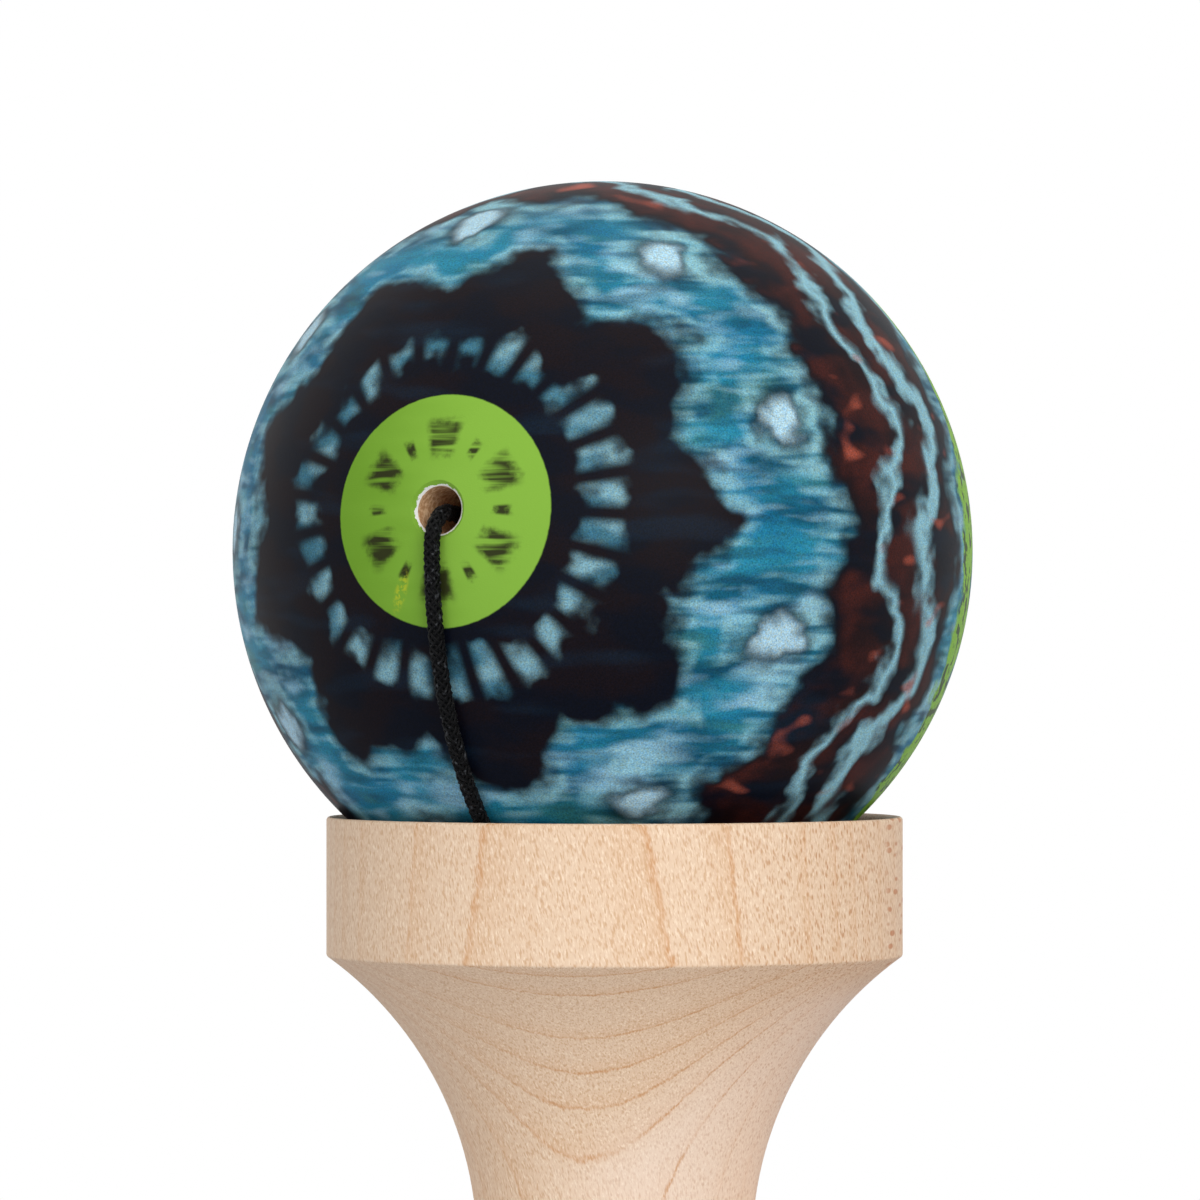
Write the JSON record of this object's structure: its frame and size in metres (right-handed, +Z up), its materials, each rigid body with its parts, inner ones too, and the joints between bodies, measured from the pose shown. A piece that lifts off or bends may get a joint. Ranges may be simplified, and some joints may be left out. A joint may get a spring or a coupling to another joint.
{
  "type": "cup and ball toy",
  "caption": "Turned wooden cup-and-ball toy: drilled ball resting on the big cup of a two-cup crosspiece, spiked handle with base cup, braided string.",
  "frame": {"origin": "centre of the small cup's rim, on the surface that the toy stands on", "axes": "+Z up along the crosspiece's axis towards the big cup, +X along the handle towards its base cup, +Y away from the viewer"},
  "size_m": [0.1552, 0.06, 0.1295],
  "materials": {
    "maple": "fine sanded maple, unvarnished",
    "printed_ball": "satin print over turned hardwood",
    "bead_wood": "tumbled bead",
    "string": "braided string"
  },
  "bodies": {
    "handle": {"crosspiece": "maple", "handle": "maple", "string_coil": "string", "string_tail": "string", "handle_knot": "string"},
    "string_end": {"swivel_bead": "bead_wood", "bead_knot": "string", "string_lead": "string", "string_drape": "string"},
    "ball": {"ball": "printed_ball"}
  },
  "joints": [
    {"name": "ball_lift", "type": "slide", "parent": "handle", "child": "string_end", "axis": [0, 0, 1], "range_m": [0, 0.06], "deforming": ["string_drape"]},
    {"name": "ball_spin", "type": "hinge", "parent": "string_end", "child": "ball", "pos_m": [-0.00097, 0.00048, 0.09948], "axis": [-0.4313, -0.8961, 0.1045], "continuous": true}
  ]
}
